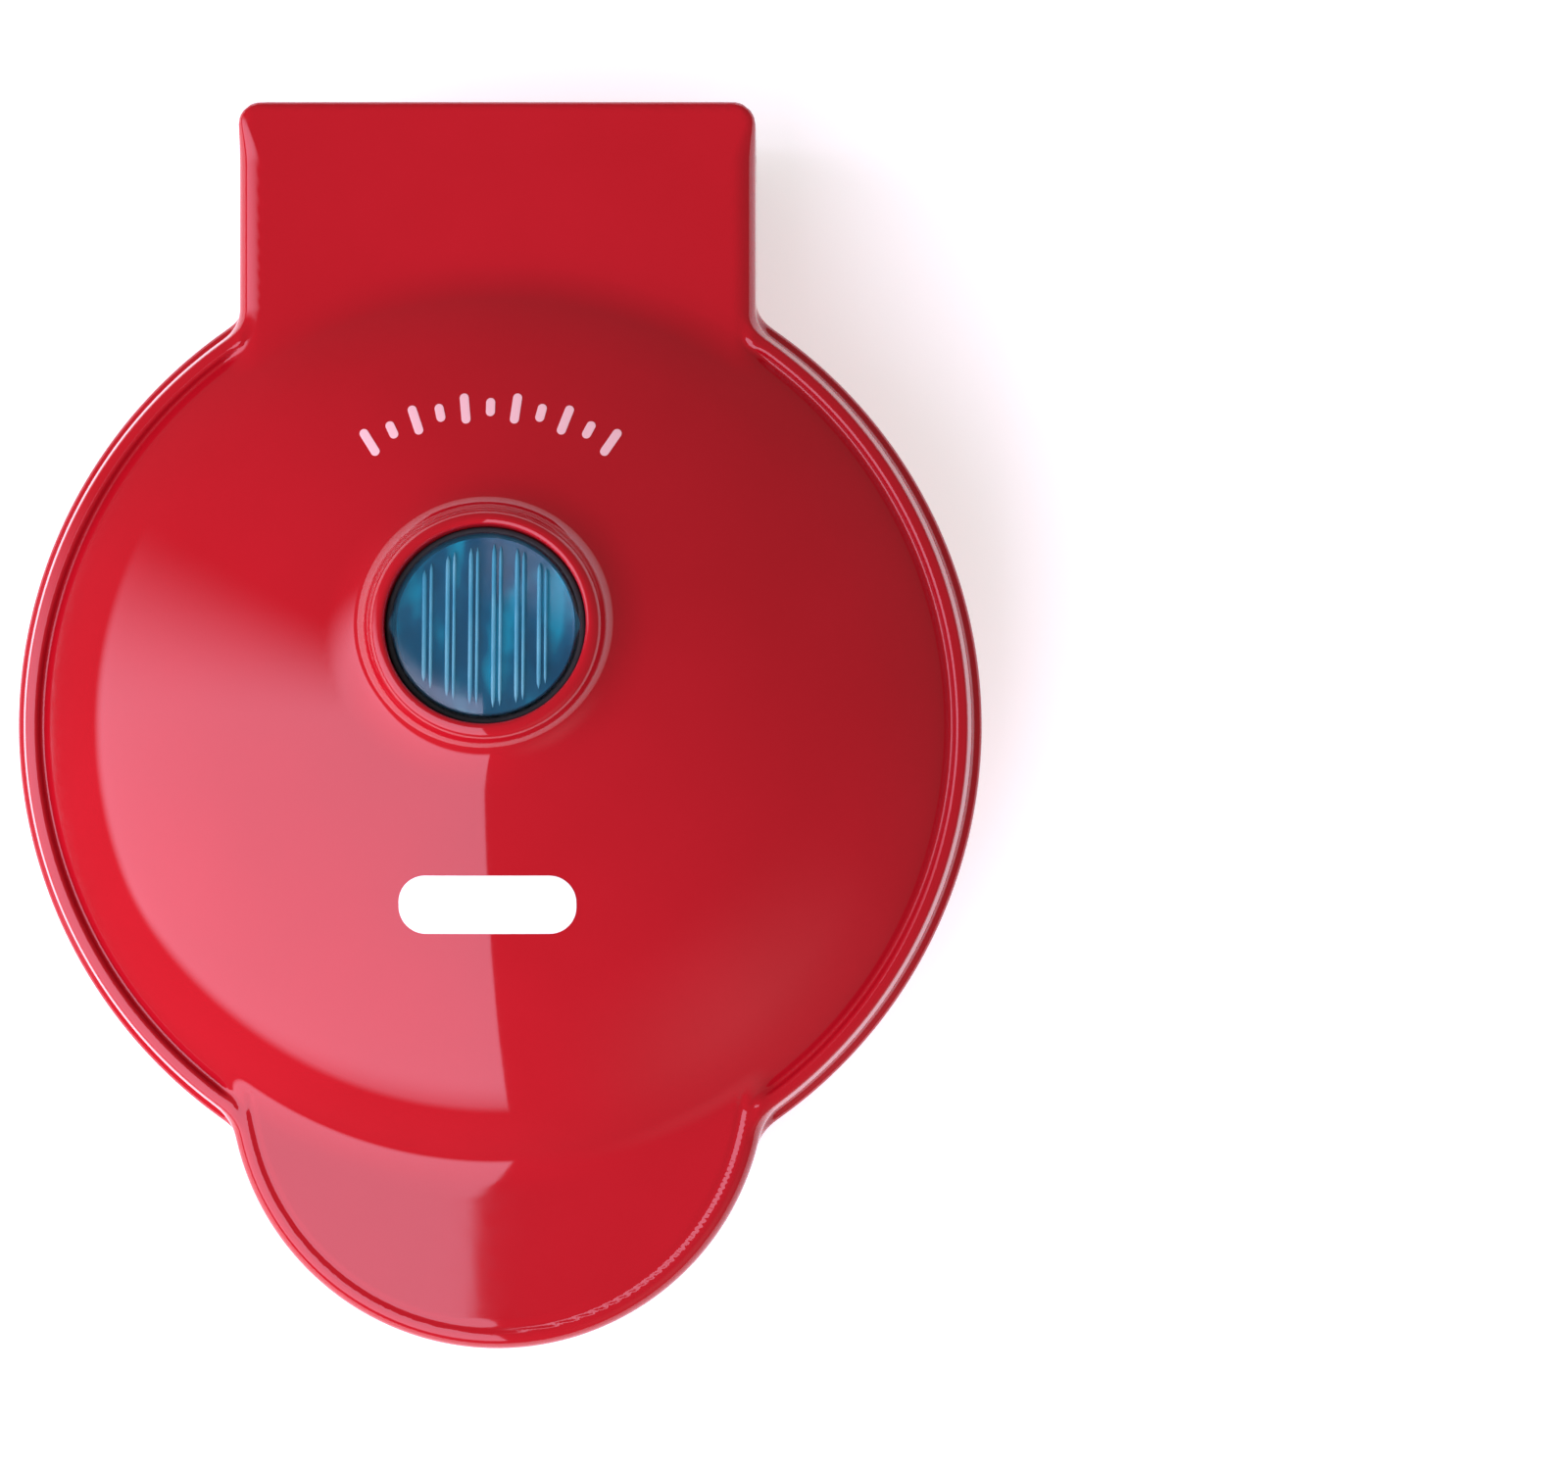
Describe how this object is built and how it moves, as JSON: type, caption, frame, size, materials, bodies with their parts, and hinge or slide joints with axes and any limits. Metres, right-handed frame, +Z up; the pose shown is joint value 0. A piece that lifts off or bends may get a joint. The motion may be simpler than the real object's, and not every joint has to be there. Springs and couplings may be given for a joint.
{
  "type": "waffle maker",
  "caption": "Small round hinged waffle maker with a domed lid, a hinge block, a half-round handle, an indicator lens and heart-shaped non-stick plates.",
  "frame": {"origin": "on the ground plane, under the axis of the round body, midway between the handle's tip and the hinge block's rear face", "axes": "+Z up out of the lid, +Y toward the hinge block, -Y toward the handle, +X to the right seen from above with the hinge at the top"},
  "size_m": [0.127, 0.1626, 0.0703],
  "materials": {
    "red_plastic": "smooth gloss moulded plastic, candy red",
    "red_liner": "smooth gloss moulded plastic, candy red",
    "nonstick": "cast aluminium with dark non-stick coating, low sheen",
    "heater_tube": "oxidised steel tube",
    "sheet_steel": "plain sheet steel",
    "screw_steel": "zinc plated",
    "pin_steel": "bright ground steel",
    "foot_rubber": "matt moulded rubber",
    "gland_rubber": "matt moulded rubber",
    "cream_plastic": "moulded heat-resistant plastic",
    "brass_screw": "plain brass",
    "ceramic": "glazed ceramic",
    "wire_cover": "braided glass sleeve",
    "lead_cover": "black braided sleeve",
    "lens_blue": "translucent moulded blue lens",
    "gasket": "matt black rubber",
    "lamp_glass": "clear lamp body"
  },
  "bodies": {
    "base": {"base_shell": "red_plastic", "base_liner": "red_liner", "lower_plate": "nonstick", "lower_heater": "heater_tube", "lower_reflector": "sheet_steel", "lower_reflector_screws": "screw_steel", "base_screws": "screw_steel", "foot_pads": "foot_rubber", "hinge_pins": "pin_steel", "cord_gland": "gland_rubber", "cord_clamp": "cream_plastic", "cord_clamp_screws": "screw_steel", "terminal_block": "cream_plastic", "terminal_screws": "brass_screw", "thermal_fuse": "ceramic", "base_wires": "wire_cover", "hinge_lead_lower": "lead_cover"},
    "lid": {"lid_shell": "red_plastic", "lid_liner": "red_liner", "upper_plate": "nonstick", "upper_heater": "heater_tube", "upper_reflector": "sheet_steel", "upper_reflector_screws": "screw_steel", "lid_screws": "screw_steel", "lens": "lens_blue", "lens_gasket": "gasket", "lamp": "lamp_glass", "lamp_holder": "cream_plastic", "thermostat": "ceramic", "thermostat_strap": "sheet_steel", "thermostat_screws": "screw_steel", "lid_wires": "wire_cover", "hinge_lead_upper": "lead_cover"}
  },
  "joints": [
    {"name": "lid_hinge", "type": "hinge", "parent": "base", "child": "lid", "pos_m": [0, 0.0781, 0.0345], "axis": [-1, 0, 0], "range_deg": [0, 100]}
  ]
}
